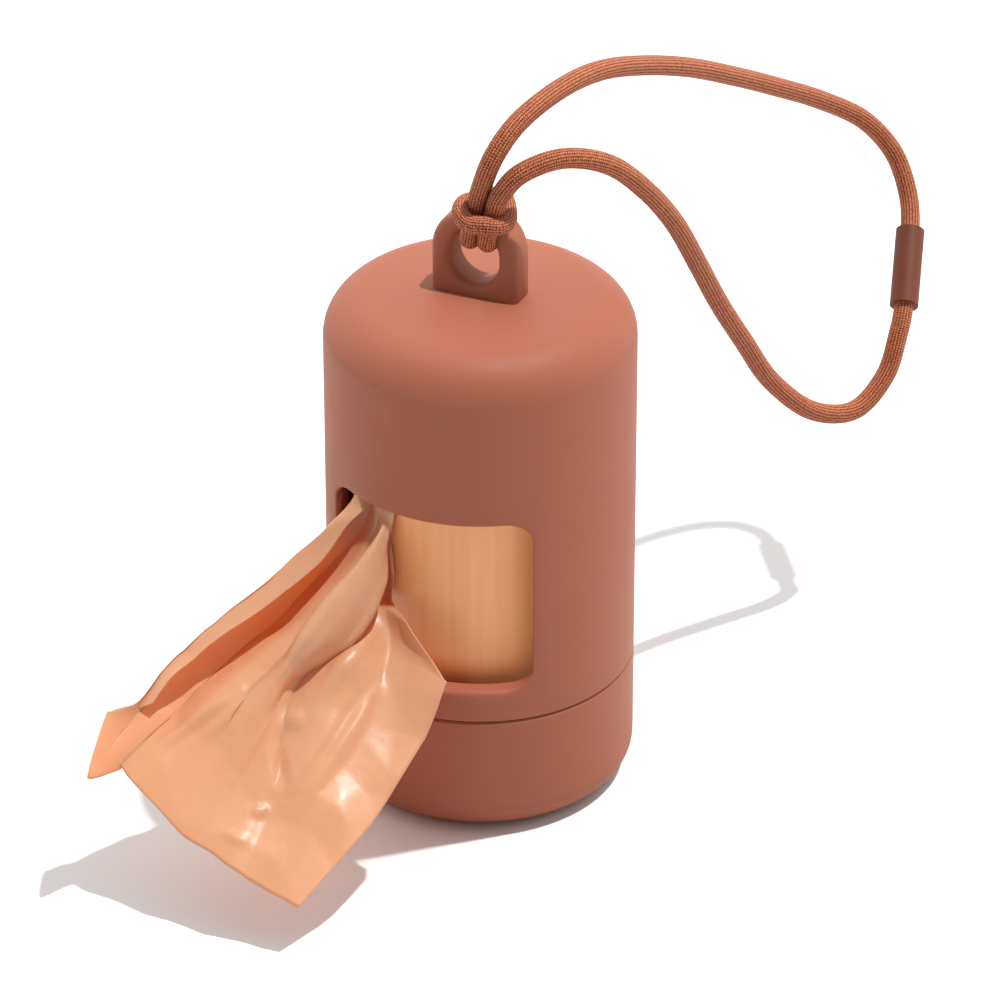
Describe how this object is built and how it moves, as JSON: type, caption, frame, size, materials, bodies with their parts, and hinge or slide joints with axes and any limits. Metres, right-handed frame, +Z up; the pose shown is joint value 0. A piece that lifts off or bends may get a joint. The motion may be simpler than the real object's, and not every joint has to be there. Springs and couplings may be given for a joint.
{
  "type": "dog waste bag dispenser",
  "caption": "Round capsule that holds a roll of dog waste bags: window in the wall, screw cap for a base, ring lug on the roof and a loop of elastic cord.",
  "frame": {"origin": "centre of the foot, on the surface that the dispenser stands on", "axes": "+Z up along the capsule, -Y out through the bag window, +Y back under the cord loop"},
  "size_m": [0.0757, 0.1531, 0.108],
  "materials": {
    "housing": "matte",
    "base_cap": "matte",
    "core_board": "matte",
    "roll_film": "satin",
    "bag_film": "satin",
    "cord": "matte",
    "sleeve": "satin",
    "crimp": "satin"
  },
  "bodies": {
    "housing": {"housing": "housing", "cord_hitch": "cord"},
    "roll_core": {"roll_core": "core_board"},
    "base_cap": {"base_cap": "base_cap"},
    "bag_roll": {"roll_film": "roll_film"},
    "bag": {"leading_bag": "bag_film"},
    "cord_loop": {"cord_upper": "cord", "cord_lower": "cord", "cord_sleeve": "sleeve", "cord_crimp": "crimp"}
  },
  "joints": [
    {"name": "cap_travel", "type": "slide", "parent": "housing", "child": "roll_core", "axis": [0, 0, -1], "range_m": [0, 0.006]},
    {"name": "cap_twist", "type": "hinge", "parent": "roll_core", "child": "base_cap", "pos_m": [0, 0, 0], "axis": [0, 0, -1], "range_deg": [0, 360]},
    {"name": "roll_spin", "type": "hinge", "parent": "roll_core", "child": "bag_roll", "pos_m": [0, 0, 0], "axis": [0, 0, 1], "range_deg": [0, 650]},
    {"name": "bag_pull", "type": "slide", "parent": "roll_core", "child": "bag", "axis": [0, -1, 0], "range_m": [0, 0.207]},
    {"name": "loop_swing", "type": "hinge", "parent": "housing", "child": "cord_loop", "pos_m": [0, -0.00395, 0.0966], "axis": [1, 0, 0], "range_deg": [-25, 45]}
  ],
  "couplings": [
    {"joint": "cap_twist", "follows": "cap_travel", "rad_per_m": 1047.2},
    {"joint": "bag_pull", "follows": "roll_spin", "m_per_rad": 0.0182}
  ]
}
